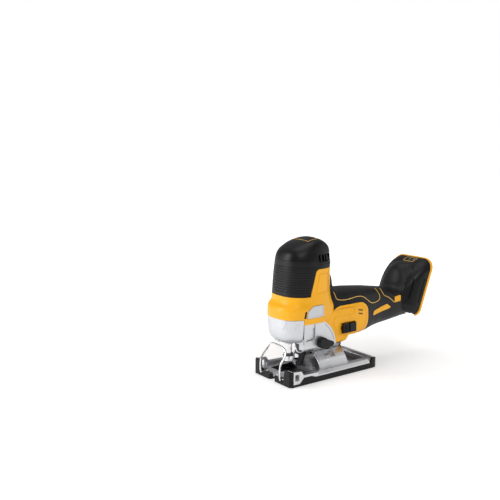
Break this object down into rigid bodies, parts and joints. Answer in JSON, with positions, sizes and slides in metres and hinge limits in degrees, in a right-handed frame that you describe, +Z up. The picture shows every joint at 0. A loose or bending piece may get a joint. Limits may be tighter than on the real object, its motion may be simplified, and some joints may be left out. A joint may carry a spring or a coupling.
{
  "type": "cordless jigsaw",
  "caption": "Barrel-grip cordless jigsaw without battery: upright motor tower, rear battery dock, reciprocating blade rod, orbital lever, wire guard and a sole that bevels to either side.",
  "frame": {"origin": "centre of the sole's flat underside", "axes": "+X towards the battery dock at the rear, +Y towards the tool's right side, +Z up along the blade rod"},
  "size_m": [0.2769, 0.08, 0.1869],
  "materials": {
    "yellow_plastic": "satin moulded",
    "black_overmould": "soft matte overmould",
    "black_plastic": "fine texture",
    "cast_alloy": "satin casting",
    "sheet_steel": "satin",
    "bright_steel": "polished",
    "dark_steel": "blackened",
    "bearing_bronze": "sintered",
    "contact_brass": "stamped",
    "badge_grey": "satin",
    "circuit_green": "lacquered board"
  },
  "bodies": {
    "housing": {"bearing_plate": "cast_alloy", "belly_housing_left": "yellow_plastic", "belly_housing_right": "yellow_plastic", "bevel_clamp_plate": "dark_steel", "controller_board": "circuit_green", "dock_housing": "black_plastic", "dock_rail_left": "black_plastic", "dock_rail_right": "black_plastic", "dock_rim": "yellow_plastic", "foot_tag_left": "yellow_plastic", "foot_tag_right": "yellow_plastic", "gear_bearing": "bright_steel", "gearcase": "cast_alloy", "guide_arm_pin": "bright_steel", "handle_grip": "black_overmould", "handle_inlay_left": "yellow_plastic", "handle_inlay_right": "yellow_plastic", "housing_screw_1": "dark_steel", "housing_screw_2": "dark_steel", "housing_screw_3": "dark_steel", "housing_screw_4": "dark_steel", "lower_bearing": "bright_steel", "motor_end_shield": "black_plastic", "nose_cover": "cast_alloy", "rod_bushing_lower": "bearing_bronze", "rod_bushing_upper": "bearing_bronze", "side_badge_left": "badge_grey", "side_badge_right": "badge_grey", "stator": "dark_steel", "switch_module": "black_plastic", "terminal_blade_1": "contact_brass", "terminal_blade_2": "contact_brass", "terminal_blade_3": "contact_brass", "terminal_blade_4": "contact_brass", "terminal_block": "black_plastic", "tower_cap": "black_plastic", "tower_grip": "black_overmould", "tower_housing": "yellow_plastic", "upper_bearing": "bright_steel", "vent_grille_left": "black_plastic", "vent_grille_right": "black_plastic"},
    "rotor": {"rotor": "sheet_steel", "fan": "black_plastic", "bevel_pinion": "dark_steel"},
    "gear": {"bevel_gear": "dark_steel", "gear_shaft": "bright_steel", "eccentric_pin": "bright_steel"},
    "rod": {"blade_rod": "bright_steel", "blade_clamp": "dark_steel"},
    "clamp_lever": {"release_lever": "bright_steel"},
    "guide_arm": {"guide_arm": "dark_steel"},
    "guide_roller": {"guide_roller": "bright_steel"},
    "orbital_lever": {"orbital_lever": "black_plastic"},
    "sole": {"sole_cover": "black_plastic", "sole_plate": "sheet_steel", "quadrant_bracket": "sheet_steel", "wire_guard": "bright_steel"},
    "bevel_lever": {"bevel_lever": "black_plastic"},
    "switch": {"switch_slider": "black_plastic"},
    "dial": {"speed_dial": "yellow_plastic"}
  },
  "joints": [
    {"name": "rotor_spin", "type": "hinge", "parent": "housing", "child": "rotor", "pos_m": [-0.021, 0, 0.13], "axis": [0, 0, 1], "continuous": true},
    {"name": "gear_spin", "type": "hinge", "parent": "housing", "child": "gear", "pos_m": [-0.029, 0, 0.074], "axis": [1, 0, 0], "continuous": true},
    {"name": "rod_slide", "type": "slide", "parent": "housing", "child": "rod", "axis": [0, 0, 1], "range_m": [-0.013, 0.013]},
    {"name": "clamp_release", "type": "hinge", "parent": "rod", "child": "clamp_lever", "pos_m": [-0.051, 0, 0.028], "axis": [0, 0, 1], "range_deg": [-20, 0], "stiffness_Nm_per_rad": 0.05},
    {"name": "orbit_swing", "type": "hinge", "parent": "housing", "child": "guide_arm", "pos_m": [-0.0275, 0, 0.038], "axis": [0, 1, 0], "range_deg": [-1.5, 2.5]},
    {"name": "roller_spin", "type": "hinge", "parent": "guide_arm", "child": "guide_roller", "pos_m": [-0.0367, 0, 0.0172], "axis": [0, 1, 0], "continuous": true},
    {"name": "orbit_select", "type": "hinge", "parent": "housing", "child": "orbital_lever", "pos_m": [-0.022, -0.036, 0.05], "axis": [0, 1, 0], "range_deg": [-65, 0]},
    {"name": "sole_bevel", "type": "hinge", "parent": "housing", "child": "sole", "pos_m": [0.001, 0, 0.002], "axis": [1, 0, 0], "range_deg": [-45, 45]},
    {"name": "bevel_release", "type": "hinge", "parent": "housing", "child": "bevel_lever", "pos_m": [0.006, 0, 0.027], "axis": [0, 0, 1], "range_deg": [-16, 0]},
    {"name": "switch_slide", "type": "slide", "parent": "housing", "child": "switch", "axis": [1, 0, 0], "range_m": [-0.006, 0]},
    {"name": "speed_turn", "type": "hinge", "parent": "housing", "child": "dial", "pos_m": [0.129, 0, 0.0634], "axis": [0, 1, 0], "range_deg": [0, 270]}
  ],
  "couplings": [
    {"joint": "gear_spin", "follows": "rotor_spin", "ratio": 0.33333}
  ]
}
